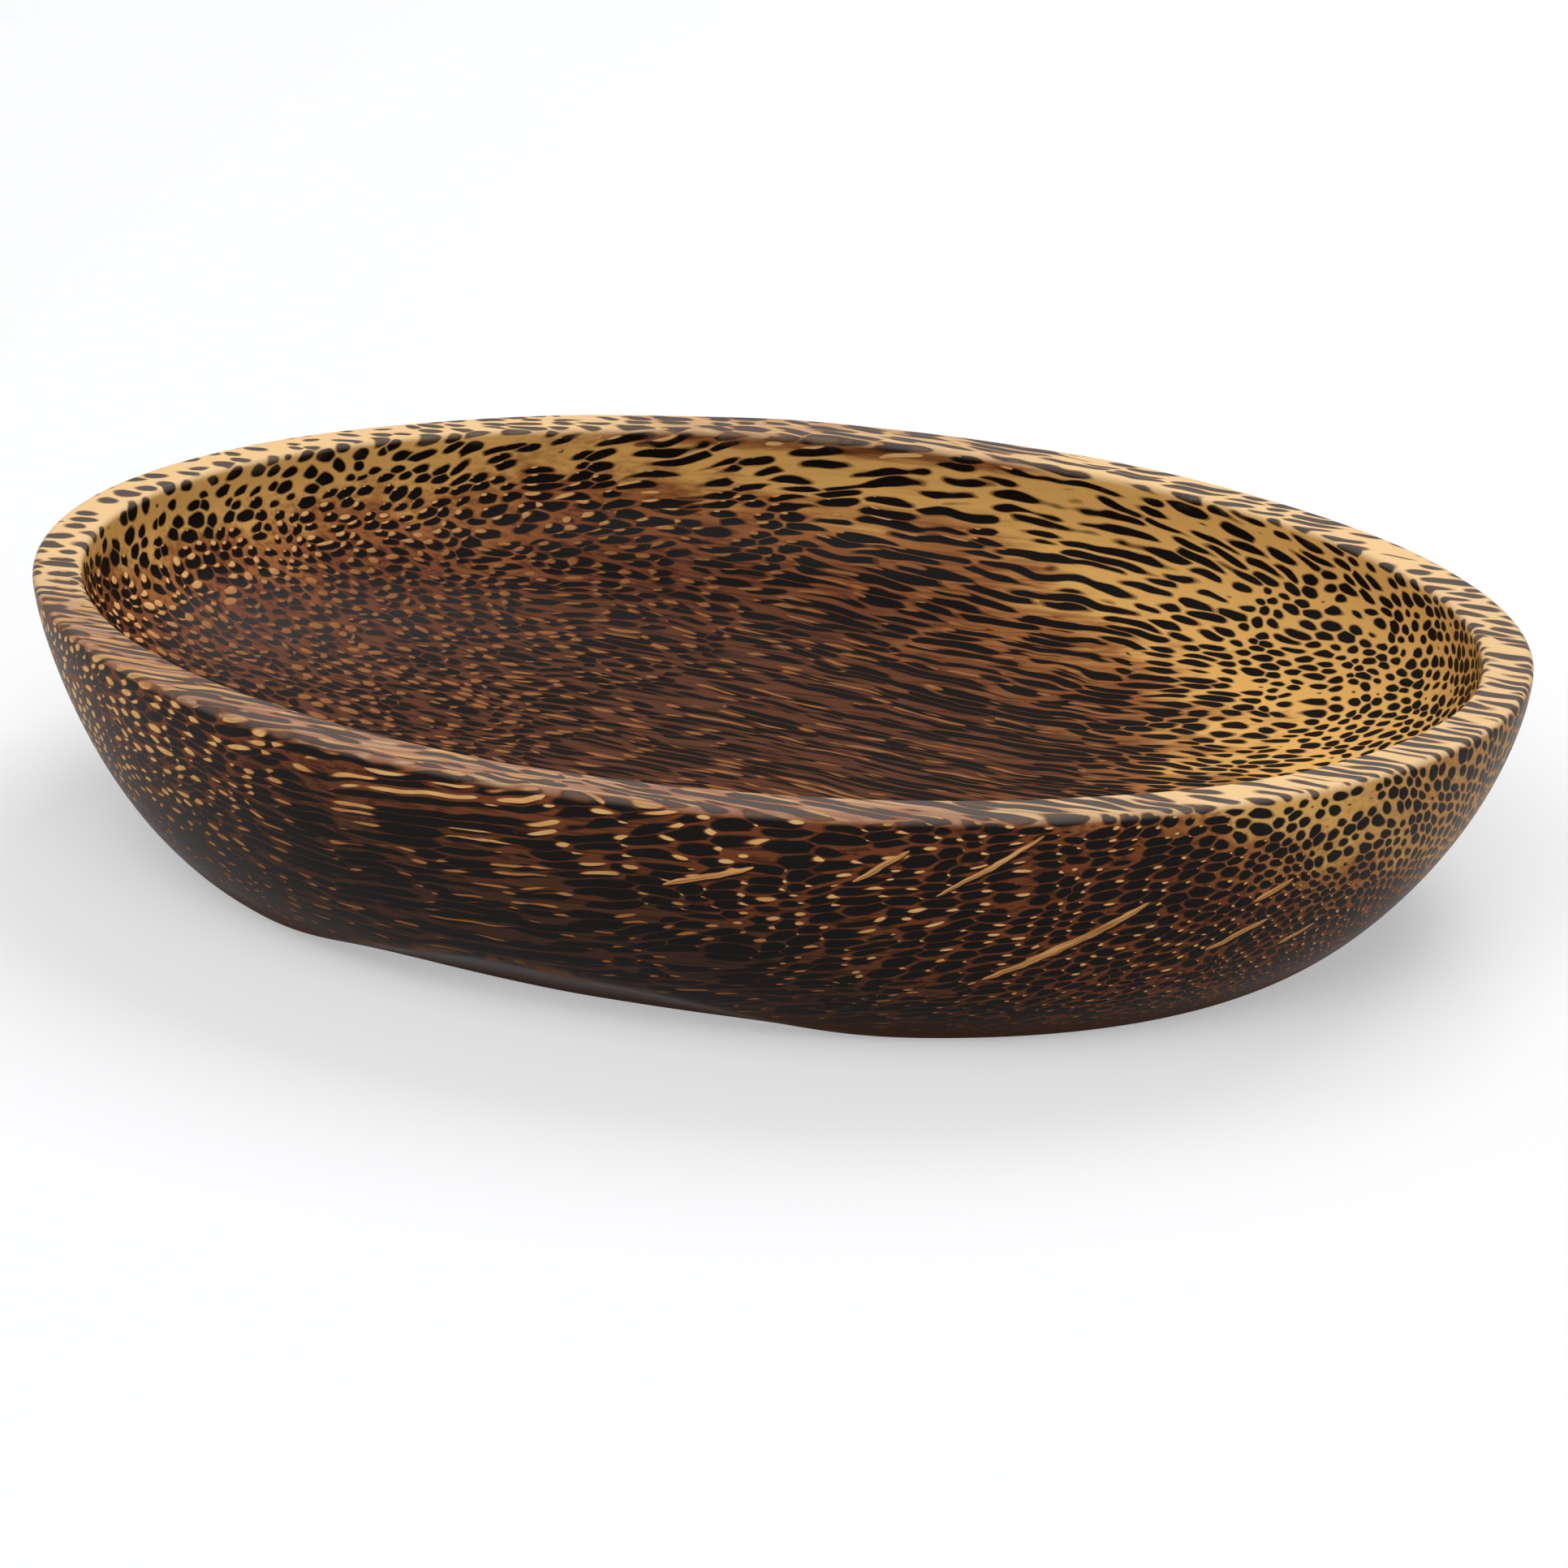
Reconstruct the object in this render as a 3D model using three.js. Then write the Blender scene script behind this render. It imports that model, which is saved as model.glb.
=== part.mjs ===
// Oval bowl carved from one block of palm wood.
// Millimetres, +Z up. The origin is on the table, under the middle of the foot.
// X runs along the bowl's length, which is also the way the grain runs.
import * as THREE from "three";

// Driving dimensions
const rimLength = 140; // outside of the rim, along the grain
const rimWidth = 94; // outside of the rim, across the grain
const bowlHeight = 24.5; // table to the top of the rim
const rimThickness = 4.5; // flat top of the rim, outer edge to inner edge
const rimRounding = 0.6; // radius of the two softened corners of the rim
const footInsetEnd = 16.8; // how far the foot stands in from the rim at each end
const footInsetSide = 9.4; // how far the foot stands in from the rim at each side
const floorThickness = 5.5; // wood left under the deepest point of the hollow

// Powers of the superellipses: 2 is a true ellipse, and a higher power is squarer.
const rimSquareness = 2;
const footSquareness = 2.3;
const wallFullness = 1.5; // section of the outside, from the foot to the rim
const hollowFullness = 2.7; // section of the hollow, from its middle to the rim

// Fineness of the surface
const stepsAround = 96;
const wallSteps = 12;
const roundingSteps = 3;
const hollowSteps = 16;

const quarterTurn = Math.PI / 2;
const shoulderHeight = bowlHeight - rimRounding; // where the walls end and the rim's rounding starts

// A sine or cosine, reshaped so that it draws a superellipse of the given power.
function eased(wave, power) {
  return Math.sign(wave) * Math.abs(wave) ** (2 / power);
}

// An oval at one height, with its half length, half width and squareness.
function oval(halfLength, halfWidth, squareness, height) {
  return { halfLength, halfWidth, squareness, height };
}

// An oval that lies inside the rim's outer edge by the same distance at its ends and sides.
function ovalInsideRim(inset, height) {
  return oval(rimLength / 2 - inset, rimWidth / 2 - inset, rimSquareness, height);
}

// The outside, from the edge of the foot up to the shoulder of the rim.
function outerWall() {
  const ovals = [];
  for (let step = 0; step < wallSteps; step++) {
    const angle = (quarterTurn * step) / wallSteps;
    const spread = eased(Math.sin(angle), wallFullness);
    const climb = 1 - eased(Math.cos(angle), wallFullness);
    ovals.push(
      oval(
        rimLength / 2 - footInsetEnd * (1 - spread),
        rimWidth / 2 - footInsetSide * (1 - spread),
        THREE.MathUtils.lerp(footSquareness, rimSquareness, spread),
        shoulderHeight * climb,
      ),
    );
  }
  return ovals;
}

// One rounded corner of the rim, from its vertical side to the flat top.
function rimCorner(sideInset, inwards) {
  const ovals = [];
  for (let step = 0; step <= roundingSteps; step++) {
    const angle = (quarterTurn * step) / roundingSteps;
    const inset = sideInset + inwards * rimRounding * (1 - Math.cos(angle));
    ovals.push(ovalInsideRim(inset, shoulderHeight + rimRounding * Math.sin(angle)));
  }
  return ovals;
}

// The hollow, from the shoulder of the rim down to the last oval round its middle.
function hollow() {
  const ovals = [];
  const depth = shoulderHeight - floorThickness;
  for (let step = hollowSteps - 1; step > 0; step--) {
    const angle = (quarterTurn * step) / hollowSteps;
    const spread = eased(Math.sin(angle), hollowFullness);
    const climb = 1 - eased(Math.cos(angle), hollowFullness);
    ovals.push(
      oval(
        (rimLength / 2 - rimThickness) * spread,
        (rimWidth / 2 - rimThickness) * spread,
        rimSquareness,
        floorThickness + depth * climb,
      ),
    );
  }
  return ovals;
}

// A closed skin over a run of ovals, with a point in the middle of the first and of the last.
function loft(ovals, firstMiddle, lastMiddle) {
  const points = [0, 0, firstMiddle];
  for (const { halfLength, halfWidth, squareness, height } of ovals) {
    for (let step = 0; step < stepsAround; step++) {
      const angle = (4 * quarterTurn * step) / stepsAround;
      points.push(
        halfLength * eased(Math.cos(angle), squareness),
        halfWidth * eased(Math.sin(angle), squareness),
        height,
      );
    }
  }
  points.push(0, 0, lastMiddle);

  const last = points.length / 3 - 1;
  const at = (ring, step) => 1 + ring * stepsAround + (step % stepsAround);
  const triangles = [];
  for (let step = 0; step < stepsAround; step++) {
    triangles.push(0, at(0, step + 1), at(0, step));
    for (let ring = 0; ring + 1 < ovals.length; ring++) {
      const low = at(ring, step);
      const lowNext = at(ring, step + 1);
      const high = at(ring + 1, step);
      const highNext = at(ring + 1, step + 1);
      triangles.push(low, lowNext, highNext, low, highNext, high);
    }
    triangles.push(last, at(ovals.length - 1, step), at(ovals.length - 1, step + 1));
  }

  const skin = new THREE.BufferGeometry();
  skin.setAttribute("position", new THREE.Float32BufferAttribute(points, 3));
  skin.setIndex(triangles);
  skin.computeVertexNormals();
  return skin;
}

// Oiled palm wood: dark fibres in a brown ground.
const palmWood = new THREE.MeshStandardMaterial({
  color: 0x5a3520,
  roughness: 0.42,
  metalness: 0,
});

// The bowl is one piece of wood, so the group holds one solid.
function carvedBowl() {
  const ovals = [
    ...outerWall(),
    ...rimCorner(0, 1),
    ...rimCorner(rimThickness, -1).reverse(),
    ...hollow(),
  ];
  const bowl = new THREE.Mesh(loft(ovals, 0, floorThickness), palmWood);
  bowl.name = "carved_bowl";
  return bowl;
}

const part = new THREE.Group();
part.name = "oval_wooden_bowl";
part.add(carvedBowl());

export default part;
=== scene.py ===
# %% [markdown]
# An oval bowl carved from one block of palm wood, about 14 cm long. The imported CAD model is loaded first
# and never changed: it gives the bowl's size, and the looks are built over it. Places are in metres, with
# Z up, and the bowl's length and its grain both run along X.

import math

import bpy
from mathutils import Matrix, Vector


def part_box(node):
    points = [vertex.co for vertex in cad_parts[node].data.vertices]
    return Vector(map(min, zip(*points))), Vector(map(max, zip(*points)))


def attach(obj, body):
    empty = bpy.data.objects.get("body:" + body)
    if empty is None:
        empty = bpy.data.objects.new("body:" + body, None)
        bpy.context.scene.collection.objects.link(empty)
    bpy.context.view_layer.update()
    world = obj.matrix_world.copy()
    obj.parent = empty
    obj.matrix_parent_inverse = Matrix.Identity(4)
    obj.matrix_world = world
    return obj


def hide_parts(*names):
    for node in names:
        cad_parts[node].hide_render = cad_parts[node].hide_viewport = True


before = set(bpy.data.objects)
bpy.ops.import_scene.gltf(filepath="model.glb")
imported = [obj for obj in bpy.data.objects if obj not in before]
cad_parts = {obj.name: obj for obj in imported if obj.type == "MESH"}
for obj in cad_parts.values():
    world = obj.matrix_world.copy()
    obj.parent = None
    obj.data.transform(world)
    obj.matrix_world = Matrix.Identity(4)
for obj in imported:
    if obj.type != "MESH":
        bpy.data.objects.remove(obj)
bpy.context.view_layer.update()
low, high = (Vector(corner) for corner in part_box("carved_bowl"))
bowl_size = high - low
MM = 0.001
print("The bowl measures", [round(side / MM, 1) for side in bowl_size], "mm")

# %% [markdown]
# Both the shape and the wood follow formulas, and a formula drawn as nodes is hard to read. A small helper
# lets the script write arithmetic in the usual way: each sum or product on a Wire adds one Math node to the
# tree that the wire runs in. The same helper serves Geometry Nodes and shader nodes.


# %% Arithmetic that adds nodes
def feed(entry, value):
    """Joins a wire or an output to a node's input, or sets the input to a plain value."""
    if isinstance(value, Wire):
        value = value.socket
    if isinstance(value, bpy.types.NodeSocket):
        entry.id_data.links.new(value, entry)
    else:
        entry.default_value = value


class Wire:
    """A number on its way through a node tree."""

    def __init__(self, socket):
        self.socket = socket
        self.tree = socket.id_data

    def math(self, operation, *others):
        node = self.tree.nodes.new("ShaderNodeMath")
        node.operation = operation
        for entry, value in zip(node.inputs, (self, *others)):
            feed(entry, value)
        return Wire(node.outputs[0])

    def __add__(self, other):
        return self.math("ADD", other)

    def __sub__(self, other):
        return self.math("SUBTRACT", other)

    def __rsub__(self, other):
        return self * -1 + other

    def __mul__(self, other):
        return self.math("MULTIPLY", other)

    def __truediv__(self, other):
        return self.math("DIVIDE", other)

    def __rtruediv__(self, other):
        return self**-1 * other

    def __pow__(self, power):
        return self.math("POWER", power)

    __radd__ = __add__
    __rmul__ = __mul__

    def towards(self, other, share):
        """This number where the share is 0 and the other where it is 1."""
        return self + (other - self) * share

    def ramp(self, start, end, first=0.0, last=1.0):
        """A smooth step from first to last as this number goes from start to end."""
        node = self.tree.nodes.new("ShaderNodeMapRange")
        node.interpolation_type = "SMOOTHSTEP"
        for entry, value in zip(node.inputs, (self, start, end, first, last)):
            feed(entry, value)
        return Wire(node.outputs[0])


def split(vector):
    """The x, y and z of a vector."""
    node = vector.id_data.nodes.new("ShaderNodeSeparateXYZ")
    feed(node.inputs[0], vector)
    return [Wire(part) for part in node.outputs]


def joined(x, y, z):
    """One vector from three numbers, of which at least the first is a wire."""
    node = x.tree.nodes.new("ShaderNodeCombineXYZ")
    for entry, value in zip(node.inputs, (x, y, z)):
        feed(entry, value)
    return node.outputs[0]


MEAN = 0.5  # noise and dice run from 0 to 1, and this is their average


def noise(point, detail=1.0):
    """Cloudy noise at a point: its value, and a colour that holds this value and two more."""
    node = point.id_data.nodes.new("ShaderNodeTexNoise")
    feed(node.inputs["Vector"], point)
    feed(node.inputs["Scale"], 1.0)
    feed(node.inputs["Detail"], detail)
    return Wire(node.outputs["Fac"]), node.outputs["Color"]


def new_group(name, kind, inputs, outputs):
    """A node group with named sockets: its tree, its inputs as a dictionary, and its output node."""
    tree = bpy.data.node_groups.new(name, kind)
    for direction, sockets in (("INPUT", inputs), ("OUTPUT", outputs)):
        for title, shape in sockets.items():
            tree.interface.new_socket(title, in_out=direction, socket_type="NodeSocket" + shape)
    entries = tree.nodes.new("NodeGroupInput").outputs
    values = {entry.name: entry for entry in entries if entry.name}
    for title, shape in inputs.items():
        if shape in ("Float", "Int"):
            values[title] = Wire(values[title])
    return tree, values, tree.nodes.new("NodeGroupOutput")


print("Helpers ready")

# %% [markdown]
# The bowl is a stack of ovals of changing size. Every stretch of its section is a quarter of a
# superellipse: it starts flat and ends upright. The wall, the hollow and the two rounded corners of the rim
# are all such quarters, so one node group makes any of them. It bends a flat grid: one side of the grid
# goes round the bowl, and the other climbs from the flat oval to the upright one.


# %% One quarter of the section, bent from a grid
def eased(wave, power):
    """A sine or cosine, reshaped so that it draws a superellipse of the given power."""
    return wave.math("SIGN") * wave.math("ABSOLUTE") ** (2 / power)


GRID_HALF = 0.5  # the flat grid is one metre wide, with its middle at zero
OVAL = ("half length", "half width", "squareness", "height")
sockets = {f"{end} {measure}": "Float" for end in ("Flat", "Upright") for measure in OVAL}
sockets |= {"Fullness": "Float", "Steps around": "Int", "Steps up": "Int", "Flip": "Bool"}
quarter, given, result = new_group("oval_quarter", "GeometryNodeTree", sockets, {"Mesh": "Geometry"})

grid = quarter.nodes.new("GeometryNodeMeshGrid")
feed(grid.inputs["Vertices X"], given["Steps around"] + 1)
feed(grid.inputs["Vertices Y"], given["Steps up"] + 1)
across, along, _ = split(quarter.nodes.new("GeometryNodeInputPosition").outputs[0])
turn = (across + GRID_HALF) * math.tau
rise = (along + GRID_HALF) * (math.pi / 2)
spread = eased(rise.math("SINE"), given["Fullness"])
climb = 1 - eased(rise.math("COSINE").math("MAXIMUM", 0), given["Fullness"])
half_length, half_width, squareness = (
    given[f"Flat {measure}"].towards(given[f"Upright {measure}"], spread) for measure in OVAL[:3]
)
move = quarter.nodes.new("GeometryNodeSetPosition")
feed(move.inputs["Geometry"], grid.outputs["Mesh"])
feed(
    move.inputs["Position"],
    joined(
        half_length * eased(turn.math("COSINE"), squareness),
        half_width * eased(turn.math("SINE"), squareness),
        given["Flat height"].towards(given["Upright height"], climb),
    ),
)
turned = quarter.nodes.new("GeometryNodeFlipFaces")
feed(turned.inputs["Mesh"], move.outputs["Geometry"])
feed(turned.inputs["Selection"], given["Flip"])
feed(result.inputs["Mesh"], turned.outputs["Mesh"])
print("Group", quarter.name, "has", len(quarter.nodes), "nodes")

# %% [markdown]
# Six of these quarters make the whole skin: the foot, the wall, the outer corner of the rim, its flat top,
# its inner corner and the hollow. Where two meet they share an oval, so merging doubles closes the skin.
# A carved bowl is never quite even, so a slow noise moves the skin by a fraction of a millimetre. The foot
# looks cut by hand too: on the near side a flat bevel runs from the table up to the wall, and it leaves a
# dark band under a crisp edge. The rim's two corners and this edge are also marked on the mesh, so that the
# material can paint them paler: partly as wear from hands and tables, and partly as a painted highlight.

# %% The bowl's tree
sockets = {
    "Rim length": "Float",
    "Rim width": "Float",
    "Height": "Float",
    "Rim thickness": "Float",
    "Rim rounding": "Float",
    "Foot inset end": "Float",
    "Foot inset side": "Float",
    "Floor thickness": "Float",
    "Unevenness": "Float",
    "Foot bevel": "Float",
    "Steps around": "Int",
    "Material": "Material",
}
tree, given, result = new_group("carved_oval_bowl", "GeometryNodeTree", sockets, {"Mesh": "Geometry"})
RIM_SQUARENESS = 2.0
FOOT_SQUARENESS = 2.3
WALL_FULLNESS = 1.5
HOLLOW_FULLNESS = 2.7
ROUND = 2.0
FOOT_STEPS = 30
WALL_STEPS = 64
CORNER_STEPS = 6
RIM_STEPS = 10
HOLLOW_STEPS = 80
MERGE_WITHIN = 0.001 * MM

shoulder = given["Height"] - given["Rim rounding"]


def inside_rim(inset, height):
    """An oval that lies inside the rim's outer edge by the same distance at its ends and sides."""
    return (given["Rim length"] / 2 - inset, given["Rim width"] / 2 - inset, RIM_SQUARENESS, height)


middle_of_foot = (0.0, 0.0, FOOT_SQUARENESS, 0.0)
middle_of_hollow = (0.0, 0.0, RIM_SQUARENESS, given["Floor thickness"])
foot_edge = (
    given["Rim length"] / 2 - given["Foot inset end"],
    given["Rim width"] / 2 - given["Foot inset side"],
    FOOT_SQUARENESS,
    0.0,
)
outer_shoulder = inside_rim(0.0, shoulder)
outer_top = inside_rim(given["Rim rounding"], given["Height"])
inner_top = inside_rim(given["Rim thickness"] - given["Rim rounding"], given["Height"])
inner_shoulder = inside_rim(given["Rim thickness"], shoulder)

QUARTERS = (
    (middle_of_foot, foot_edge, ROUND, FOOT_STEPS, False),
    (foot_edge, outer_shoulder, WALL_FULLNESS, WALL_STEPS, False),
    (outer_top, outer_shoulder, ROUND, CORNER_STEPS, True),
    (outer_top, inner_top, ROUND, RIM_STEPS, False),
    (inner_top, inner_shoulder, ROUND, CORNER_STEPS, False),
    (middle_of_hollow, inner_shoulder, HOLLOW_FULLNESS, HOLLOW_STEPS, True),
)
skin = tree.nodes.new("GeometryNodeJoinGeometry")
for flat, upright, fullness, steps_up, flip in reversed(QUARTERS):
    piece = tree.nodes.new("GeometryNodeGroup")
    piece.node_tree = quarter
    values = (*flat, *upright, fullness, given["Steps around"], steps_up, flip)
    for entry, value in zip(piece.inputs, values):
        feed(entry, value)
    feed(skin.inputs[0], piece.outputs[0])
merged = tree.nodes.new("GeometryNodeMergeByDistance")
feed(merged.inputs["Geometry"], skin.outputs[0])
feed(merged.inputs["Distance"], MERGE_WITHIN)
print("The skin is made of", len(QUARTERS), "quarters")

# %% Hand work: an uneven skin, a bevel on the foot, and worn edges that also carry a painted highlight
SLOW = 1 / (26 * MM)  # one swell of the surface is about 26 mm long
SWELLS_FROM = (0.5 * MM, 5 * MM)  # the swells fade in between these heights, so the foot stays flat
FOOT_FLAT = 0.955  # where the bevel starts, as a share of the foot's radius
BEVEL_RISE = 30 * MM  # how high it would climb over one radius of the foot
BEVEL_TOWARDS = math.radians(-99)  # the side of the foot that has the bevel
BEVEL_FULL = math.radians(5)  # how far to both sides of it the bevel is full
BEVEL_SPREAD = math.radians(62)  # and where it has faded out
BEVEL_SINK = 1.2 * MM  # there it lies this far below the table
EDGE_WEAR_AND_HIGHLIGHT = "edge_wear_and_highlight"  # name of the mesh's own attribute for how worn its edges are, and how much painted highlight they take
EDGE_SOFT = 0.2 * MM  # the wear and painted highlight of the rim's corners fade over this height
CREASE = 0.7 * MM  # the crease where bevel and wall meet is rounded by about this much

x, y, z = split(tree.nodes.new("GeometryNodeInputPosition").outputs[0])
swell, _ = noise(joined(x * SLOW, y * SLOW, z * SLOW))
push = (swell - MEAN) * given["Unevenness"] * z.ramp(*SWELLS_FROM)
facing = split(tree.nodes.new("GeometryNodeInputNormal").outputs[0])
reach = ((x / foot_edge[0]) ** 2 + (y / foot_edge[1]) ** 2) ** 0.5
bearing = (y.math("ARCTAN2", x) - BEVEL_TOWARDS).math("ABSOLUTE")
share = bearing.ramp(BEVEL_FULL, BEVEL_SPREAD, 1.0, 0.0) * given["Foot bevel"]
bevel = ((reach - FOOT_FLAT) * BEVEL_RISE + BEVEL_SINK) * share - BEVEL_SINK
lift = z.math("SMOOTH_MAX", bevel, CREASE) - z
# The rim's corners and the foot's crease are marked for wear and for a painted highlight
above_wall = z.ramp(shoulder - EDGE_SOFT, shoulder + EDGE_SOFT / 2)
corner = above_wall * z.ramp(given["Height"] - EDGE_SOFT, given["Height"], 1.0, 0.0)
crease = (z - bevel).math("ABSOLUTE").ramp(0.0, CREASE, 1.0, 0.0) * share
worn_and_highlit_edges = tree.nodes.new("GeometryNodeStoreNamedAttribute")
feed(worn_and_highlit_edges.inputs["Geometry"], merged.outputs["Geometry"])
feed(worn_and_highlit_edges.inputs["Name"], EDGE_WEAR_AND_HIGHLIGHT)
feed(worn_and_highlit_edges.inputs["Value"], corner.math("MAXIMUM", crease))
carved = tree.nodes.new("GeometryNodeSetPosition")
feed(carved.inputs["Geometry"], worn_and_highlit_edges.outputs["Geometry"])
feed(carved.inputs["Offset"], joined(facing[0] * push, facing[1] * push, facing[2] * push + lift))
smooth = tree.nodes.new("GeometryNodeSetShadeSmooth")
feed(smooth.inputs[0], carved.outputs["Geometry"])
real = tree.nodes.new("GeometryNodeRealizeInstances")
feed(real.inputs[0], smooth.outputs[0])
finished = tree.nodes.new("GeometryNodeSetMaterial")
feed(finished.inputs["Geometry"], real.outputs[0])
feed(finished.inputs["Material"], given["Material"])
feed(result.inputs["Mesh"], finished.outputs["Geometry"])
print("Tree", tree.name, "has", len(tree.nodes), "nodes")

# %% [markdown]
# The tree runs as a modifier on an empty mesh. The three outer sizes come from the CAD box, and the rest
# repeat the sizes that the CAD model was drawn with. The result becomes a plain mesh on an object at the
# origin.

# %% Run the tree
palm_wood = bpy.data.materials.new("palm_wood")
SIZES = {
    "Rim length": bowl_size.x,
    "Rim width": bowl_size.y,
    "Height": bowl_size.z,
    "Rim thickness": 4.5 * MM,
    "Rim rounding": 0.6 * MM,
    "Foot inset end": 16.8 * MM,
    "Foot inset side": 9.4 * MM,
    "Floor thickness": 5.5 * MM,
    "Unevenness": 0.5 * MM,
    "Foot bevel": 1.0,
    "Steps around": 400,
    "Material": palm_wood,
}
blank = bpy.data.objects.new("blank", bpy.data.meshes.new("blank"))
bpy.context.collection.objects.link(blank)
modifier = blank.modifiers.new("carve", "NODES")
modifier.node_group = tree
for socket in tree.interface.items_tree:
    if socket.in_out == "INPUT":
        modifier[socket.identifier] = SIZES[socket.name]
ready = blank.evaluated_get(bpy.context.evaluated_depsgraph_get())
bowl_mesh = bpy.data.meshes.new_from_object(ready)
bowl_mesh.name = "oval_bowl"
blank.modifiers.clear()
bpy.data.objects.remove(blank)
bowl = bpy.data.objects.new("oval_bowl", bowl_mesh)
bpy.context.collection.objects.link(bowl)
triangles = sum(len(face.vertices) - 2 for face in bowl_mesh.polygons)
print("Bowl:", len(bowl_mesh.vertices), "vertices,", triangles, "triangles")

# %% [markdown]
# Palm wood has no rings. It is a pale, soft ground full of fibre bundles, like straws in a block. Each
# bundle has a hard black cap and, on the side towards the middle of the trunk, a pale spot of open vessels.
# The bundles crowd together towards the outside of the trunk, which is taken to lie under the bowl. Where
# the surface cuts across them they are spots, and where it runs along them they are long streaks. A pattern
# painted on the surface could not follow that, so the wood is a solid pattern in space, cut by the bowl.
#
# The pattern works in millimetres. It takes the place of a point in the trunk's cross-section, in polar
# form, and raises the radius to a power. That makes the cells smaller outwards and keeps them round. Packed
# straws stand in staggered rows, so each bundle has a six-sided cell, and noise bends the rows.

# %% The bundles as a group of masks
TRUNK_Y = 0.0  # the trunk's middle lies high above the bowl
TRUNK_Z = 80.0
RISE = 0.07  # the bundles climb towards +X, and there they climb more steeply
RISE_MORE = 0.0004
ARCH = 0.003  # under the hollow they curve down again to both ends
ARCH_FROM = -35.0  # the arch grows from this y to the next
ARCH_TO = 0.0
FLARE = 290.0  # the bundles also spread apart towards +X, by a factor e over this length
FLARE_Z = 12.0  # and away from this height
FLATTER = 0.3  # towards +X they get flatter by this share, between these two x
FLATTER_X = (5.0, 45.0)
BULGE = 3.0  # and between two places along X they swing towards -Y
BULGE_X = (-10.0, 26.0)
CLOSE_FROM = -20.0  # from here to +X they close in from both sides, by these slopes at these two y
CLOSE_Y = (-40.0, 30.0)
CLOSE_SLOPES = (-0.06, 0.2)
CROWDED_BELOW = 9.0  # under this height the bundles also crowd together vertically
CROWDED_MORE = 0.05
SWAYS = ((24.0, 8.0, 2.0), (6.0, 5.0, 1.3))  # length, thickness and reach of a slow and a quick sway
SWAY_START = 10.0  # another number gives another set of sways
KINK_LENGTH = 20.0  # length of the bends in the rows, and their width and reach in cells
KINK_WIDTH = 4.0
KINK = 1.4
SWELL_LENGTH = 6.5  # how long one swelling of a bundle is
OWN_NOISE = 90.0  # each bundle takes its own place within this many swells, so that it swells by itself
WANDER = 0.9  # how far a cap can wander in its cell, along the bundle
JITTER = (0.5, 0.2)  # how far its place differs from the middle of the cell, at these two x
JITTER_X = (0.0, 40.0)
JITTER_LOW = 0.3  # and what the low part of the wall adds, between these two heights
JITTER_Z = (4.0, 14.0)
EVEN_RADIUS = 63.0  # where the cells have the spacing below
SPACING = 1.38
CROWDING = 2.2  # the power: 1 would keep one spacing everywhere
ROW = math.sqrt(3.0) / 2  # distance between two rows of cells, where a cell is one wide
CELL_HALF = 0.5

MASKS = ("Fibre", "Fringe", "Vessel", "Darkness", "Dense", "Streak")
bundles, given, result = new_group(
    "palm_bundles", "ShaderNodeTree", {"Point": "Vector"}, {title: "Float" for title in MASKS}
)
x, y, z = split(given["Point"])


def stretched(length, thickness):
    """The point for a noise that is longer along the bundles than across them."""
    return joined(x / length, y / thickness, z / thickness)


closer = (x / -FLARE).math("EXPONENT")
in_trunk = (y - TRUNK_Y) * closer + x.ramp(*BULGE_X, 0.0, BULGE)
in_trunk = in_trunk + (x - CLOSE_FROM).math("MAXIMUM", 0.0) * y.ramp(*CLOSE_Y, *CLOSE_SLOPES)
bend = RISE_MORE - y.ramp(ARCH_FROM, ARCH_TO, 0.0, ARCH)
closer_down = closer + x.ramp(*FLATTER_X, 0.0, FLATTER)
below = (FLARE_Z - z + x * RISE + x**2 * bend) * closer_down + (TRUNK_Z - FLARE_Z)
below = below + (CROWDED_BELOW - z).math("MAXIMUM", 0.0) ** 2 * CROWDED_MORE
for length, thickness, swing in SWAYS:
    _, sway = noise(joined(x / length + SWAY_START, y / thickness, z / thickness))
    sway_y, sway_z, _ = split(sway)
    in_trunk = in_trunk + (sway_y - MEAN) * swing
    below = below + (sway_z - MEAN) * swing
radius = (in_trunk**2 + below**2) ** 0.5
angle = in_trunk.math("ARCTAN2", below) * CROWDING
outwards = (radius / EVEN_RADIUS) ** CROWDING * (EVEN_RADIUS / CROWDING / SPACING)
cell_x = outwards * angle.math("SINE")
cell_y = outwards * angle.math("COSINE")
_, kink = noise(joined(x / KINK_LENGTH, cell_x / KINK_WIDTH, cell_y / KINK_WIDTH))
kink_x, kink_y, _ = split(kink)
cell_x = cell_x + (kink_x - MEAN) * KINK
cell_y = cell_y + (kink_y - MEAN) * KINK


def row_middle(shift):
    """The nearest middle in every second row: its column and row, in half steps, and how far it is."""
    column = ((cell_x - shift).math("ROUND") + shift) * 2
    row = ((cell_y / (2 * ROW) - shift).math("ROUND") + shift) * 2
    return column, row, (cell_x - column / 2) ** 2 + (cell_y - row * ROW) ** 2


even_column, even_row, from_even = row_middle(0.0)
odd_column, odd_row, from_odd = row_middle(CELL_HALF)
is_odd = from_odd.math("LESS_THAN", from_even)
column = even_column.towards(odd_column, is_odd)
row = even_row.towards(odd_row, is_odd)
dice = bundles.nodes.new("ShaderNodeTexWhiteNoise")
dice.noise_dimensions = "2D"
feed(dice.inputs["Vector"], joined(column, row, 0.0))
size_chance, vessel_chance, own_place = split(dice.outputs["Color"])
middle_x = column / 2
middle_y = row * ROW
off_x = cell_x - middle_x
off_y = cell_y - middle_y
wide = off_x.math("ABSOLUTE")
apart = CELL_HALF - wide.math("MAXIMUM", wide / 2 + off_y.math("ABSOLUTE") * ROW)
own_start = x / SWELL_LENGTH + own_place * OWN_NOISE
swelling, own_noise = noise(joined(own_start, vessel_chance * OWN_NOISE, size_chance * OWN_NOISE))
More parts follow.
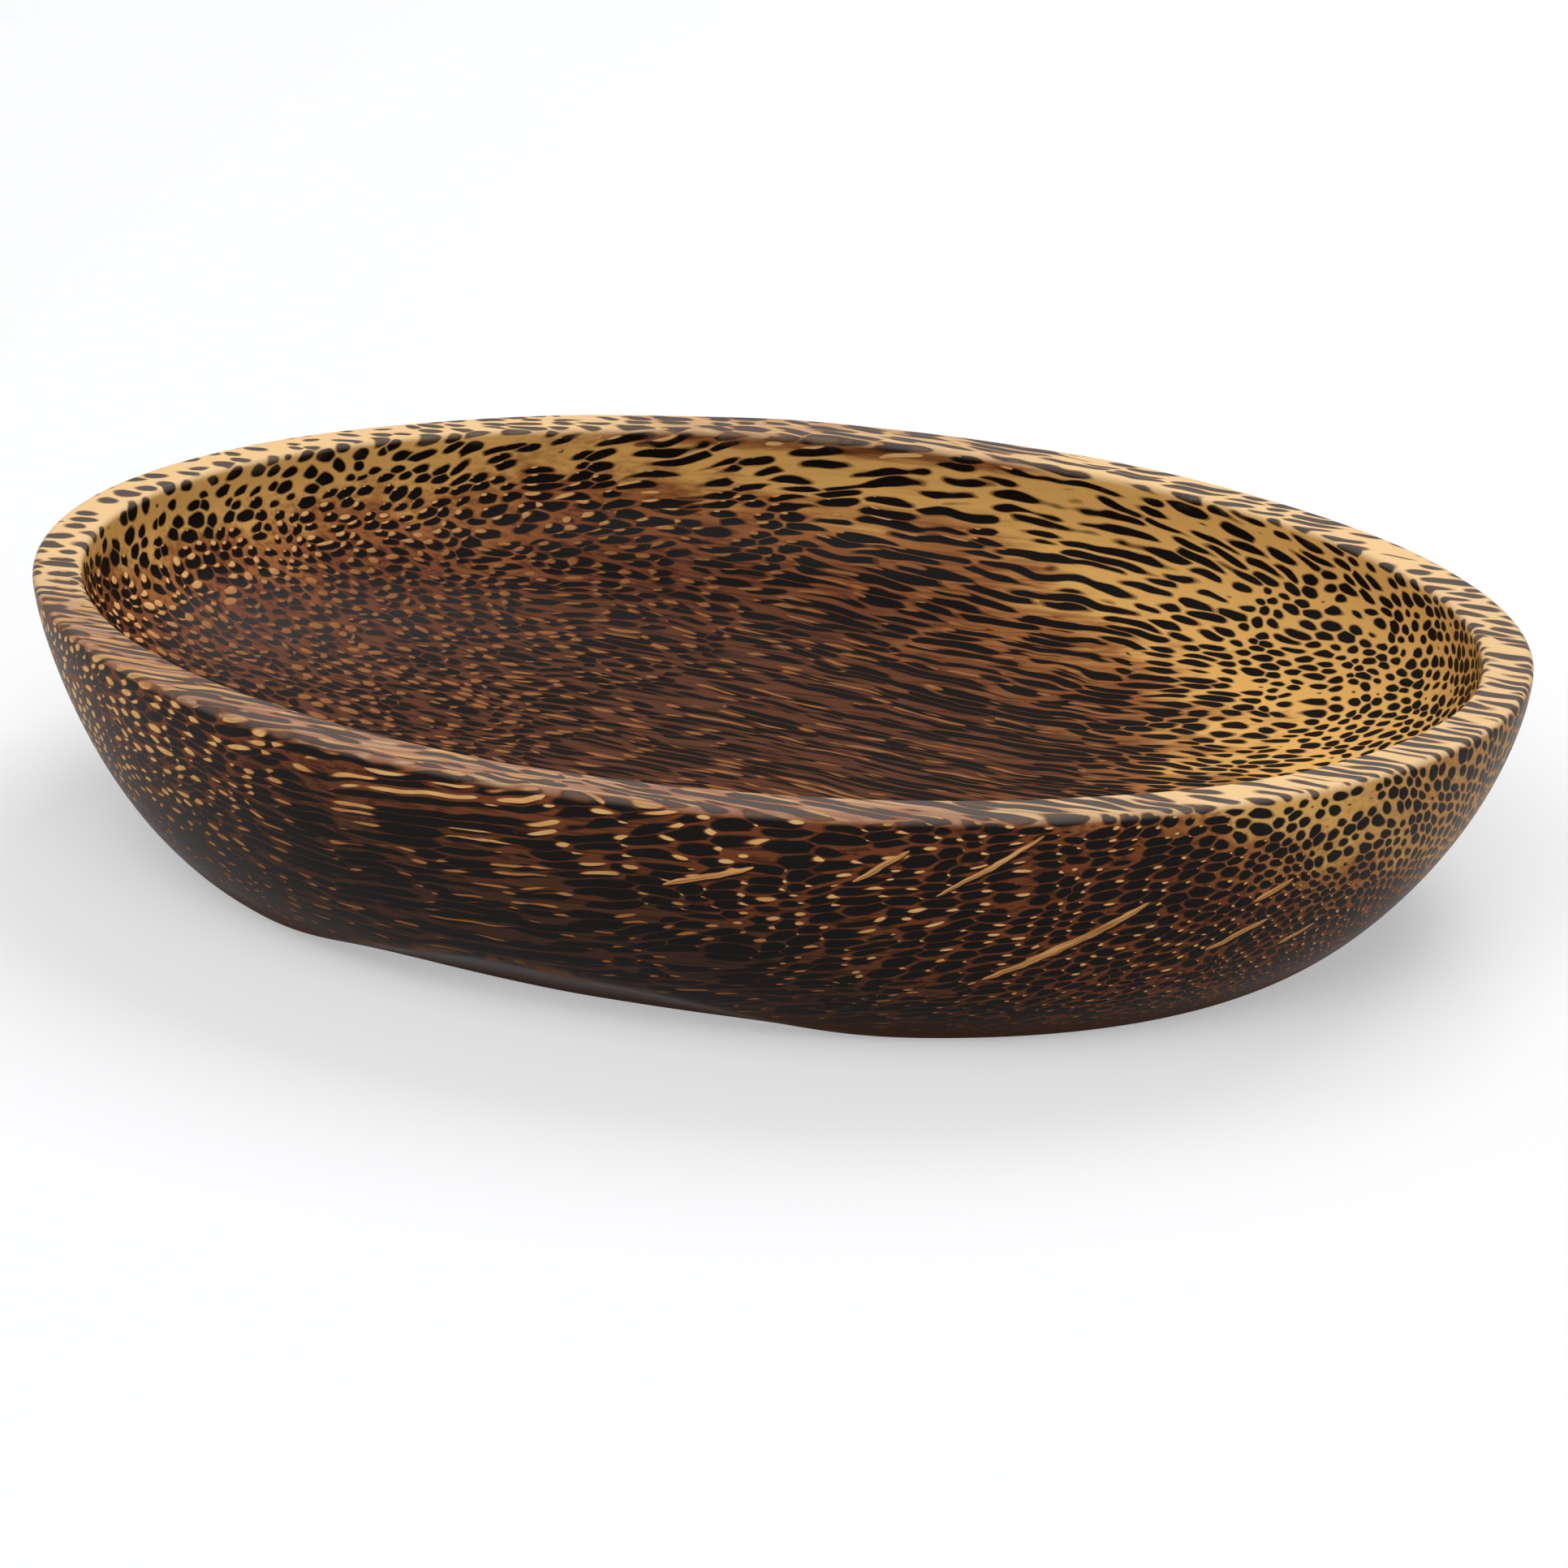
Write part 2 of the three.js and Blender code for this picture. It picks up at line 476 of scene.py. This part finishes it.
opening, wander_x, wander_y = split(own_noise)
jitter = x.ramp(*JITTER_X, *JITTER) + z.ramp(*JITTER_Z, JITTER_LOW, 0.0)
off_x = off_x + (wander_x - MEAN) * WANDER + (vessel_chance - MEAN) * jitter
off_y = off_y + (wander_y - MEAN) * WANDER + (own_place - MEAN) * jitter
from_axis = (middle_x**2 + middle_y**2) ** 0.5
off_out = (off_x * middle_x + off_y * middle_y) / from_axis
off_side = (off_x * middle_y - off_y * middle_x) / from_axis
print("Each bundle has its cell, and a place in it")

# %% [markdown]
# Inside its cell, a bundle is drawn from two round shapes. The black cap is egg-shaped, and it fills more
# of its cell where the wood is dark. Caps that would touch are held apart by a thin line of ground. The
# vessel spot sits at the blunt end of the cap. Both swell and shrink along the bundle, and the vessels come
# and go, so the streaks have ends.
#
# How dark the wood is depends on its zone: the distance from a line high above the bowl, made uneven by
# noise. A few local changes of the zone and of the caps follow the photograph and nothing else.

# %% The zones and the caps of the bundles
TONE_Y = 13.0  # the middle of the pale wood lies a little to the far side of the trunk's middle
PALE_RADIUS = 64.0  # the wood is pale inside this radius around it and dark outside the next
DARK_RADIUS = 75.0
DENSE_RADII = (78.5, 95.0)  # between these the caps close up and the ground gets darker still
DENSE_BETWEEN = (0.1, 0.8)  # the vessels and colours of dense wood set in between these shares of it
LEAN = 0.1  # the dark zone lies closer towards -X
PATCH_SIZE = (22.0, 9.0)  # its edge is uneven in wide patches: their length, thickness and reach
PATCHES = 7.0
MOTTLE_SIZE = (8.0, 2.5)  # and in small ones
MOTTLE = 5.0
FAR_DARK = 6.5  # the middle of the far rim is darker, as if it lay deeper by this much
FAR_FROM = (-40.0, -22.0)  # from here along X to the next, on this side of the bowl and at its top
FAR_TO = (8.0, 28.0)
FAR_Y = (26.0, 42.0)
FAR_Z = (22.0, 24.0)
FAR_PALE = 2.2  # and the far wall below it is paler by this much towards +X
PALE_FROM = (-25.0, 5.0)
PALE_Y = (20.0, 36.0)
PALE_Z = (20.0, 23.0)

PALE_CAP = 0.345  # radius of a cap, as a share of the spacing, in pale and in dark wood
DARK_CAP = 0.44
FULL_CAP = 0.6  # the caps have reached the second size at this darkness
DENSE_CAP = 0.06  # what dense wood adds to it
END_CAP = 0.035  # what the +X end of the bowl adds, between these two x
END_X = (54.0, 66.0)
RIM_Z = (23.6, 24.3)  # between these heights, on the rim, the caps get smaller again
RIM_CAP = 0.86
FINE = 0.17  # towards -X on the far side they are smaller by this share
FINE_X = (-62.0, -40.0)
FINE_Y = (5.0, 25.0)
CAP_SPREAD = 0.3  # how much the caps differ in size, and how much each one swells along its bundle
CAP_SWELL = 1.4
CAPLESS = 0.04  # about this share of the bundles has a smaller cap or none
CAP_OUT = 0.04  # a cap sits this far outwards in its cell
EGG = 0.5  # how much narrower a cap gets outwards
ROUGH_SIZE = (3.0, 2 / 3)  # its outline is rough: length, thickness and reach of the dents
ROUGH = 0.1
PALE_GAP = 0.05  # half the least distance between two caps, in pale and in dense wood
DENSE_GAP = 0.02
ROUNDING = 0.15  # how round the corners are that packed caps leave each other

patch_tone, _ = noise(stretched(*PATCH_SIZE))
mottle, _ = noise(stretched(*MOTTLE_SIZE))
zone = ((y - TONE_Y) ** 2 + (z - TRUNK_Z) ** 2) ** 0.5 - x * LEAN
zone = zone + (patch_tone - MEAN) * PATCHES + (mottle - MEAN) * MOTTLE
middle = x.ramp(*FAR_FROM) * x.ramp(*FAR_TO, 1.0, 0.0)
zone = zone + middle * y.ramp(*FAR_Y, 0.0, FAR_DARK) * z.ramp(*FAR_Z)
zone = zone - x.ramp(*PALE_FROM, 0.0, FAR_PALE) * y.ramp(*PALE_Y) * z.ramp(*PALE_Z, 1.0, 0.0)
darkness = zone.ramp(PALE_RADIUS, DARK_RADIUS)
dense = zone.ramp(*DENSE_RADII)

cap_size = darkness.ramp(0.0, FULL_CAP, PALE_CAP, DARK_CAP) + dense * DENSE_CAP
cap_size = cap_size + x.ramp(*END_X, 0.0, END_CAP)
cap_size = cap_size * ((size_chance - MEAN) * CAP_SPREAD + 1) * ((swelling - MEAN) * CAP_SWELL + 1)
cap_size = cap_size * size_chance.ramp(0.0, CAPLESS) * z.ramp(*RIM_Z, 1.0, RIM_CAP)
cap_size = cap_size * (1 - x.ramp(*FINE_X, FINE, 0.0) * y.ramp(*FINE_Y))
narrowed = off_side * (off_out * EGG + 1)
rough, _ = noise(stretched(*ROUGH_SIZE))
from_cap = ((off_out - CAP_OUT) ** 2 + narrowed**2) ** 0.5 + (rough - MEAN) * ROUGH
gap = dense.ramp(0.0, 1.0, PALE_GAP, DENSE_GAP)
within = (cap_size - from_cap).math("SMOOTH_MIN", apart - gap, ROUNDING)
print("Caps reach", PALE_CAP, "to", DARK_CAP + DENSE_CAP, "of the spacing from their middle")

# %% The vessels, and all masks together
VESSEL = 0.215  # radius of the vessels, as a share of the spacing, in most wood and in dense wood
DENSE_VESSEL = 0.13
VESSEL_SPREAD = 0.5  # how much they differ in size
LARGER_TO = (-55.0, -10.0)  # towards -X they get larger
LARGER = 1.5
SMALLER_TO = (5.0, 48.0)  # and towards +X smaller
SMALLER = 0.55
FEWER = 0.6  # in dense wood they are also less open there, by up to this share
VESSEL_AWAY = 0.95  # how far they lie from the middle of the bundle, as a share of the cap's radius
VESSEL_TURN = math.radians(26)  # they sit a little to one side of the way inwards
OPENING = (0.3, 0.46)  # along a bundle they open between these values of its noise
WEAK = 0.4  # this share of the bundles has weaker vessels, down to the next share of the full strength
WEAKEST = 0.5
VESSELS_FROM = (0.05, 0.8)  # they appear between these shares of darkness, and pale wood shows none
LEAST_VESSEL = 0.01  # keeps a closed vessel from dividing by nothing
VESSEL_EDGE = (0.5, 1.25)  # a vessel fades out between these shares of its radius
CAP_EDGE = 0.03  # half the width of a cap's soft outline
FRINGE = 0.12  # width of the warm edge around it
STREAK_SIZE = (14.0, 1 / 2.4)  # length and thickness of the fine streaks in the ground
STREAK_DETAIL = 4.0

vessel_size = dense.ramp(*DENSE_BETWEEN, VESSEL, DENSE_VESSEL)
vessel_size = vessel_size * ((vessel_chance - MEAN) * VESSEL_SPREAD + 1)
vessel_size = vessel_size * x.ramp(*LARGER_TO, LARGER, 1.0) * x.ramp(*SMALLER_TO, 1.0, SMALLER)
vessel_out = off_out + cap_size * (VESSEL_AWAY * math.cos(VESSEL_TURN))
vessel_side = off_side - cap_size * (VESSEL_AWAY * math.sin(VESSEL_TURN))
open_here = opening.ramp(*OPENING) * darkness.ramp(*VESSELS_FROM)
open_here = open_here * vessel_chance.ramp(0.0, WEAK, WEAKEST, 1.0)
open_here = open_here * (1 - dense * x.ramp(*SMALLER_TO, 0.0, FEWER))
from_vessel = (vessel_out**2 + vessel_side**2) ** 0.5 / (vessel_size * open_here**0.5 + LEAST_VESSEL)
vessel = from_vessel.ramp(*VESSEL_EDGE, 1.0, 0.0)
streak, _ = noise(stretched(*STREAK_SIZE), STREAK_DETAIL)
fibre = within.ramp(-CAP_EDGE, CAP_EDGE)
fringe = within.ramp(-FRINGE, 0.0)
for title, value in zip(MASKS, (fibre, fringe, vessel, darkness, dense, streak)):
    feed(result.inputs[title], value)
print("Group", bundles.name, "has", len(bundles.nodes), "nodes")

# %% [markdown]
# A few bundles leave the others and run out on a slant, to where a leaf once grew. On the near wall they
# show as pale lines that cross the rest. Each one is a thin ribbon in the wood: a mask that is strong close
# to one plane, between two points, and that tapers to both ends.

# %% A leaf trace as a mask
TRACE_RAGGED = 0.5  # how far the sides of a trace swing, in millimetres
LEAST_WIDTH = 0.001  # keeps its pointed ends from dividing by nothing
TRACE_TIP = 0.03  # the two ends fade over this share of its length
TRACE_EDGE = (0.7, 1.1)  # its sides fade between these shares of the half width
SHEATH_AWAY = 1.3  # a dark sheath lies along one side, so many half widths from the middle
SHEATH_EDGE = (0.3, 0.7)  # and fades between these distances from there

trace, given, result = new_group(
    "leaf_trace",
    "ShaderNodeTree",
    {
        "Point": "Vector",
        "Ragged": "Float",
        "Start": "Vector",
        "Along": "Vector",
        "Across": "Vector",
        "Width": "Float",
    },
    {"Trace": "Float", "Sheath": "Float", "Way along": "Float", "Way across": "Float"},
)


def vector_math(operation, first, second):
    """One Vector Math node: its outputs."""
    node = first.id_data.nodes.new("ShaderNodeVectorMath")
    node.operation = operation
    feed(node.inputs[0], first)
    feed(node.inputs[1], second)
    return node.outputs


from_start = vector_math("SUBTRACT", given["Point"], given["Start"])["Vector"]
length_squared = Wire(vector_math("DOT_PRODUCT", given["Along"], given["Along"])["Value"])
share = Wire(vector_math("DOT_PRODUCT", from_start, given["Along"])["Value"]) / length_squared
aside = Wire(vector_math("DOT_PRODUCT", from_start, given["Across"])["Value"])
aside = aside + (given["Ragged"] - MEAN) * TRACE_RAGGED
# The taper is 1 in the middle of the trace and 0 at both ends
taper = (share * (1 - share) * 4).math("MAXIMUM", 0.0) ** 0.5
inside = aside / (given["Width"] * taper + LEAST_WIDTH)
ends = share.ramp(0.0, TRACE_TIP) * share.ramp(1 - TRACE_TIP, 1.0, 1.0, 0.0)
mask = inside.math("ABSOLUTE").ramp(*TRACE_EDGE, 1.0, 0.0) * ends
sheath = (inside - SHEATH_AWAY).math("ABSOLUTE").ramp(*SHEATH_EDGE, 1.0, 0.0) * ends
feed(result.inputs["Trace"], mask)
feed(result.inputs["Sheath"], sheath)
feed(result.inputs["Way along"], share * length_squared**0.5 * mask)
feed(result.inputs["Way across"], aside * mask)
print("Group", trace.name, "has", len(trace.nodes), "nodes")

# %% [markdown]
# The material puts the masks together. The ground goes from honey to dark brown with the zone, the caps are
# nearly black with a warm edge, and the vessels are cream with an amber edge. The wood looks oiled: it has a
# soft shine, a little smoother on the hard caps and rougher on the open vessels. The rim is paler and
# greyer: partly wear, and partly a painted sheen that turns its black caps grey. The hollow is darker, with
# browner vessels. The edges are paler in stretches, partly from scuffs and partly as a painted highlight,
# and the foot is taken to be rough.


# %% Colours and placing of the leaf traces
def paint(red, green, blue):
    """A colour as seen on a screen, from 0 to 255, made ready for a shader by undoing the sRGB curve."""
    shades = [shade / 255 for shade in (red, green, blue)]
    light = [c / 12.92 if c < 0.04045 else ((c + 0.055) / 1.055) ** 2.4 for c in shades]
    return (*light, 1.0)


HONEY = paint(236, 182, 102)
TAN = paint(168, 106, 57)
RUSSET = paint(120, 66, 38)
UMBER = paint(70, 45, 33)
BLACK_FIBRE = paint(22, 17, 15)
WARM_EDGE = paint(62, 32, 19)
CREAM = paint(246, 200, 128)
AMBER = paint(146, 82, 40)
# The next three colours paint the rim: partly wear, and partly painted sheen, which turns the black caps
# grey
PALE_WEAR_AND_SHEEN = paint(233, 198, 150)
BROWN_WEAR_AND_SHEEN = paint(166, 122, 100)
SHEEN_GREY_FIBRE = paint(100, 88, 82)
SAWN_WOOD = paint(80, 48, 26)
STRAW = paint(236, 176, 106)

# Start, end and outward direction of each leaf trace, and half its width, in millimetres
LEAF_TRACES = (
    ((31.6, -38.2, 8.1), (45.5, -34.2, 15.7), (0.42, -0.85, -0.3), 0.42),
    ((28.6, -41.9, 17.1), (37.6, -39.6, 23.0), (0.33, -0.93, -0.14), 0.25),
    ((21.9, -43.9, 18.4), (26.8, -43.2, 21.7), (0.24, -0.96, -0.15), 0.28),
    ((5.6, -45.7, 16.6), (13.9, -45.5, 19.3), (0.1, -0.97, -0.21), 0.32),
    ((49.0, -29.5, 9.6), (53.8, -26.6, 12.1), (0.6, -0.72, -0.34), 0.34),
    ((54.1, -24.1, 8.5), (56.8, -22.0, 10.1), (0.69, -0.57, -0.45), 0.28),
    ((52.9, -28.4, 14.2), (55.9, -26.4, 16.0), (0.64, -0.72, -0.29), 0.32),
)
print(len(LEAF_TRACES), "leaf traces")

# %% The places of the material: zones, leaf traces, and worn parts with painted sheen and highlight
RAGGED_SCALE = 0.5  # swells per millimetre in the sides of a trace
GRAIN_LENGTH = 5.0  # length and thickness of the grain inside a trace
GRAIN_THICKNESS = 0.25
GRAIN_DETAIL = 2.0
GRAIN_EDGE = (0.35, 0.65)
RIM_WEAR_AND_SHEEN = (23.8, 24.3)  # between these heights the rim is paler and greyer, partly from wear and partly as painted sheen, in millimetres
HOLLOW_TO = (0.82, 0.92)  # what lies inside these shares of the rim's radius looks oiled, below the bowl too
FLOOR_TO = (0.6, 0.95)  # and inside these the dark ground looks darker still
SAWN = 4.0  # under this height the wood is taken to be rough, as if left from the saw
SCUFF_SCALE = 0.3  # swells per millimetre in the scuffs and painted highlights, their fineness, and where they set in
SCUFF_DETAIL = 4.0
SCUFF_EDGE = (0.48, 0.62)

palm_wood.use_nodes = True
wood = palm_wood.node_tree
shader = wood.nodes["Principled BSDF"]
place = wood.nodes.new("ShaderNodeTexCoord").outputs["Object"]
point = vector_math("DIVIDE", place, (MM, MM, MM))["Vector"]


def scaled(along_x, along_y, along_z):
    """The point for a noise with so many swells per millimetre in each direction."""
    return vector_math("MULTIPLY", point, (along_x, along_y, along_z))["Vector"]


def gathered(total, value, operation):
    """The value itself if it is the first, or else joined to the total."""
    return value if total is None else total.math(operation, value)


masks = wood.nodes.new("ShaderNodeGroup")
masks.node_tree = bundles
feed(masks.inputs["Point"], point)
fibre, fringe, vessel, darkness, dense, streak = (Wire(output) for output in masks.outputs)

ragged, _ = noise(scaled(RAGGED_SCALE, RAGGED_SCALE, RAGGED_SCALE))
traces = sheaths = ways_along = ways_across = None
for start, end, outward, half_width in LEAF_TRACES:
    node = wood.nodes.new("ShaderNodeGroup")
    node.node_tree = trace
    along = Vector(end) - Vector(start)
    across = along.cross(Vector(outward)).normalized()
    for entry, value in zip(node.inputs, (point, ragged, start, along, across, half_width)):
        feed(entry, value)
    mask, sheath, way_along, way_across = (Wire(output) for output in node.outputs)
    traces = gathered(traces, mask, "MAXIMUM")
    sheaths = gathered(sheaths, sheath, "MAXIMUM")
    ways_along = gathered(ways_along, way_along, "ADD")
    ways_across = gathered(ways_across, way_across, "ADD")
grain, _ = noise(joined(ways_along / GRAIN_LENGTH, ways_across / GRAIN_THICKNESS, 0.0), GRAIN_DETAIL)
grains = grain.ramp(*GRAIN_EDGE) * traces

x, y, height = split(point)
reach = ((x / (bowl_size.x / MM / 2)) ** 2 + (y / (bowl_size.y / MM / 2)) ** 2) ** 0.5
# The rim's band, where wear and a painted sheen make the wood paler and greyer
rim_sheen_and_wear = height.ramp(*RIM_WEAR_AND_SHEEN)
oiled = reach.ramp(*HOLLOW_TO, 1.0, 0.0)
on_floor = reach.ramp(*FLOOR_TO, 1.0, 0.0)
sawn = height.ramp(0.0, SAWN, 1.0, 0.0)
# The marked edges, which turn paler in stretches: partly wear, partly painted highlight
edge = wood.nodes.new("ShaderNodeAttribute")
edge.attribute_name = EDGE_WEAR_AND_HIGHLIGHT
scuffs, _ = noise(scaled(SCUFF_SCALE, SCUFF_SCALE, SCUFF_SCALE), SCUFF_DETAIL)
scuffed_and_highlit = Wire(edge.outputs["Fac"]) * scuffs.ramp(*SCUFF_EDGE)
print("Masks for", len(masks.outputs), "things in the wood and for its worn parts")

# %% The colours of the wood
STREAKS = 0.4  # how much the fine streaks shift the ground's colour towards dark or pale
END_SHADE = 0.24  # painted shade: the ground at the +X end is a little darker, in place of less light on that end
TAN_AT = (0.0, 0.45)  # the ground turns from honey to tan between these shares of darkness
RUSSET_AT = (0.35, 0.95)  # and on to russet between these
FLOOR_DARKENING = 0.7  # how much darker the middle of the hollow gets
FINE_FIBRES = (0.5, 0.6)  # streaks between these values are thin black fibres in dark wood
FINE_STRENGTH = 0.6
WORN_AND_SHEEN = 0.8  # strength of the rim's colours, partly wear and partly painted sheen
RIM_PALE_STREAKS = (0.45, 0.7)  # the rim's wood is paler in streaks, by up to the next share
RIM_PALE_STREAK = 0.7
RIM_PALEST = 1.4  # and it is palest where the wood was pale before
RIM_DULL = 0.5  # vessels on the rim stand out less by this share
HOLLOW_DULL = 0.45  # and so do those in the hollow, perhaps from oil
HOLLOW_BROWN = 0.85  # which are also browner by this share
WARM = 0.8  # strength of the caps' warm edge
CAP_FROM = (0.2, 0.8)  # a cap turns black between these values of its mask
PITH_STREAKS = (0.35, 0.65)  # the vessels go from straw to cream between these values of the streaks
AMBER_FROM = (0.0, 0.6)  # their amber edge starts between these values of their mask
CORE_FROM = (0.3, 0.9)  # and their core between these
SHEATH = 0.9  # strength of the dark side of a leaf trace
SAWN_STRENGTH = 0.8  # strength of the sawn wood's colour
PALE_SCUFF_AND_HIGHLIGHT = 0.12  # strength of the scuffs and painted highlights in pale wood, and what dark wood adds
DARK_SCUFF_AND_HIGHLIGHT = 0.2


def blended(share, first, second):
    """The first colour where the share is 0 and the second where it is 1."""
    node = wood.nodes.new("ShaderNodeMix")
    node.data_type = "RGBA"
    entries = {entry.identifier: entry for entry in node.inputs}
    feed(entries["Factor_Float"], share)
    feed(entries["A_Color"], first)
    feed(entries["B_Color"], second)
    return next(output for output in node.outputs if output.identifier == "Result_Color")


# Painted shade darkens the ground at the +X end
depth = darkness + (streak - MEAN) * STREAKS + x.ramp(*END_X, 0.0, END_SHADE)
ground = blended(depth.ramp(*TAN_AT), HONEY, TAN)
ground = blended(depth.ramp(*RUSSET_AT), ground, RUSSET)
in_dense = dense.ramp(*DENSE_BETWEEN)
ground = blended(in_dense, ground, UMBER)
ground = blended(on_floor * FLOOR_DARKENING * darkness, ground, UMBER)
fine_fibres = streak.ramp(*FINE_FIBRES) * darkness
ground = blended(fine_fibres * FINE_STRENGTH, ground, BLACK_FIBRE)
# Painted sheen and wear: the rim's ground turns paler and greyer
paler_wear_and_sheen = streak.ramp(*RIM_PALE_STREAKS, 0.0, RIM_PALE_STREAK) + (1 - darkness) * RIM_PALEST
ground = blended(rim_sheen_and_wear * WORN_AND_SHEEN, ground, blended(paler_wear_and_sheen, BROWN_WEAR_AND_SHEEN, PALE_WEAR_AND_SHEEN))
ground = blended(fringe * WARM, ground, WARM_EDGE)
# Painted sheen: on the rim the black caps turn grey
black = blended(rim_sheen_and_wear * WORN_AND_SHEEN, BLACK_FIBRE, SHEEN_GREY_FIBRE)
colour = blended(fibre.ramp(*CAP_FROM), ground, black)
pith = blended(streak.ramp(*PITH_STREAKS), STRAW, CREAM)
pith = blended(in_dense.math("MAXIMUM", oiled * HOLLOW_BROWN), pith, TAN)
spot = blended(vessel.ramp(*CORE_FROM), AMBER, pith)
clear = (1 - oiled * HOLLOW_DULL) * (1 - rim_sheen_and_wear * RIM_DULL)
colour = blended(vessel.ramp(*AMBER_FROM) * clear, colour, spot)
colour = blended(sheaths * SHEATH, colour, BLACK_FIBRE)
colour = blended(traces, colour, blended(grains, TAN, STRAW))
colour = blended(sawn * SAWN_STRENGTH, colour, SAWN_WOOD)
# Painted highlight, partly real scuffs: the marked edges turn paler in stretches
scuff_and_highlight_colour = blended(darkness, PALE_WEAR_AND_SHEEN, TAN)
colour = blended(scuffed_and_highlit * (darkness * DARK_SCUFF_AND_HIGHLIGHT + PALE_SCUFF_AND_HIGHLIGHT), colour, scuff_and_highlight_colour)
feed(shader.inputs["Base Color"], colour)
print("Colours blended for", palm_wood.name)

# %% The finish of the wood
ROUGHNESS = 0.46
CAP_POLISH = 0.1  # the caps are this much smoother
VESSEL_ROUGH = 0.12  # and the vessels, the scuffs and the sawn wood this much rougher
SCUFF_ROUGH = 0.12
SAWN_ROUGH = 0.4
SHINE = 0.07  # fainter than the usual 0.5
SAW_MARKS = (0.6, 1.8, 1.8)  # swells per millimetre in the sawn wood, longer along the grain
SAW_DETAIL = 2.0
RELIEF_STRENGTH = 0.25
RELIEF_DEPTH = 0.1 * MM
STREAK_RELIEF = 0.3  # streaks and saw marks reach this many times that depth
SAW_RELIEF = 4.0

polished = ROUGHNESS - fibre * CAP_POLISH + vessel * VESSEL_ROUGH
feed(shader.inputs["Roughness"], polished + scuffed_and_highlit * SCUFF_ROUGH + sawn * SAWN_ROUGH)
shader.inputs["Specular IOR Level"].default_value = SHINE
relief = wood.nodes.new("ShaderNodeBump")
relief.inputs["Strength"].default_value = RELIEF_STRENGTH
relief.inputs["Distance"].default_value = RELIEF_DEPTH
sawing, _ = noise(scaled(*SAW_MARKS), SAW_DETAIL)
feed(relief.inputs["Height"], streak * STREAK_RELIEF + sawing * sawn * SAW_RELIEF - scuffed_and_highlit)
feed(shader.inputs["Normal"], relief.outputs["Normal"])
print("Material", palm_wood.name, "has", len(wood.nodes), "nodes")

# %% [markdown]
# The bowl stands on plain paper in a bright, even room. Light comes from all around, so the shadow is soft
# and lies close to the foot. One large window above and behind and one above and in front give the light a
# direction, and two weak ones fill in from the sides. The paper is a grey that takes the shadow, and a glow
# that only the camera and reflections see makes it white.

# %% Floor and lights
FLOOR_HALF = 3.0
PAPER = (0.515, 0.52, 0.53, 1.0)
PAPER_ROUGHNESS = 0.9
PAPER_SHINE = 0.1
PAPER_GLOW = 0.41
WHITE = (1.0, 1.0, 1.0, 1.0)
SKY = (0.98, 0.99, 1.0, 1.0)
SKY_LIGHT = 0.35

# Name, place, side and power of each window, in metres and watts
WINDOWS = (
    ("window_behind", (0.15, 0.55, 0.78), 0.6, 5.0),
    ("window_front", (0.0, -0.5, 0.8), 0.8, 4.8),
    ("window_left", (-0.9, -0.2, 0.4), 0.8, 0.8),
    ("window_right", (0.9, -0.2, 0.4), 0.8, 0.3),
)

floor_mesh = bpy.data.meshes.new("paper")
corners = [(sx * FLOOR_HALF, sy * FLOOR_HALF, 0.0) for sx, sy in ((-1, -1), (1, -1), (1, 1), (-1, 1))]
floor_mesh.from_pydata(corners, [], [(0, 1, 2, 3)])
paper_finish = bpy.data.materials.new("white_paper")
paper_finish.use_nodes = True
paper_shader = paper_finish.node_tree.nodes["Principled BSDF"]
paper_shader.inputs["Base Color"].default_value = PAPER
paper_shader.inputs["Roughness"].default_value = PAPER_ROUGHNESS
paper_shader.inputs["Specular IOR Level"].default_value = PAPER_SHINE
ray = paper_finish.node_tree.nodes.new("ShaderNodeLightPath")
seen = Wire(ray.outputs["Is Camera Ray"])
for kind in ("Is Glossy Ray", "Is Transmission Ray"):
    seen = seen.math("MAXIMUM", Wire(ray.outputs[kind]))
paper_shader.inputs["Emission Color"].default_value = WHITE
feed(paper_shader.inputs["Emission Strength"], seen * PAPER_GLOW)
floor_mesh.materials.append(paper_finish)
paper = bpy.data.objects.new("paper", floor_mesh)
bpy.context.collection.objects.link(paper)


def softbox(name, place, size, power):
    """A square lamp that shines at the bowl."""
    lamp = bpy.data.lights.new(name, "AREA")
    lamp.size = size
    lamp.energy = power
    holder = bpy.data.objects.new(name, lamp)
    holder.location = place
    holder.rotation_euler = (-Vector(place)).to_track_quat("-Z", "Y").to_euler()
    bpy.context.collection.objects.link(holder)


for window in WINDOWS:
    softbox(*window)

world = bpy.data.worlds.new("bright_room")
bpy.context.scene.world = world
world.use_nodes = True
sky = world.node_tree.nodes["Background"]
sky.inputs["Color"].default_value = SKY
sky.inputs["Strength"].default_value = SKY_LIGHT
bpy.context.scene.view_settings.view_transform = "Standard"
print("Floor,", len(WINDOWS), "windows and a bright room")

# %% [markdown]
# The camera stands where the photograph seems to have been taken from: a long lens, a little to the right of
# the bowl's short axis, looking down at it. It aims slightly below the middle of the bowl, which leaves more
# room under it.

# %% Camera
CAMERA_PLACE = Vector((162.6, -489.7, 230.0)) * MM
AIM = Vector((2.0, -1.6, 7.2)) * MM
LENS = 140.07
SENSOR = 36.0
CLIP_START = 0.01
camera_data = bpy.data.cameras.new("camera")
camera_data.lens = LENS
camera_data.sensor_width = SENSOR
camera_data.clip_start = CLIP_START
camera = bpy.data.objects.new("camera", camera_data)
camera.location = CAMERA_PLACE
camera.rotation_euler = (AIM - CAMERA_PLACE).to_track_quat("-Z", "Y").to_euler()
bpy.context.collection.objects.link(camera)
bpy.context.scene.camera = camera
print("Camera", round((CAMERA_PLACE - AIM).length / MM), "mm from what it aims at")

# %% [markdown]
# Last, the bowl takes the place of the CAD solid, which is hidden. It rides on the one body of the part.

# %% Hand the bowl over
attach(bowl, "root")
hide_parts("carved_bowl")
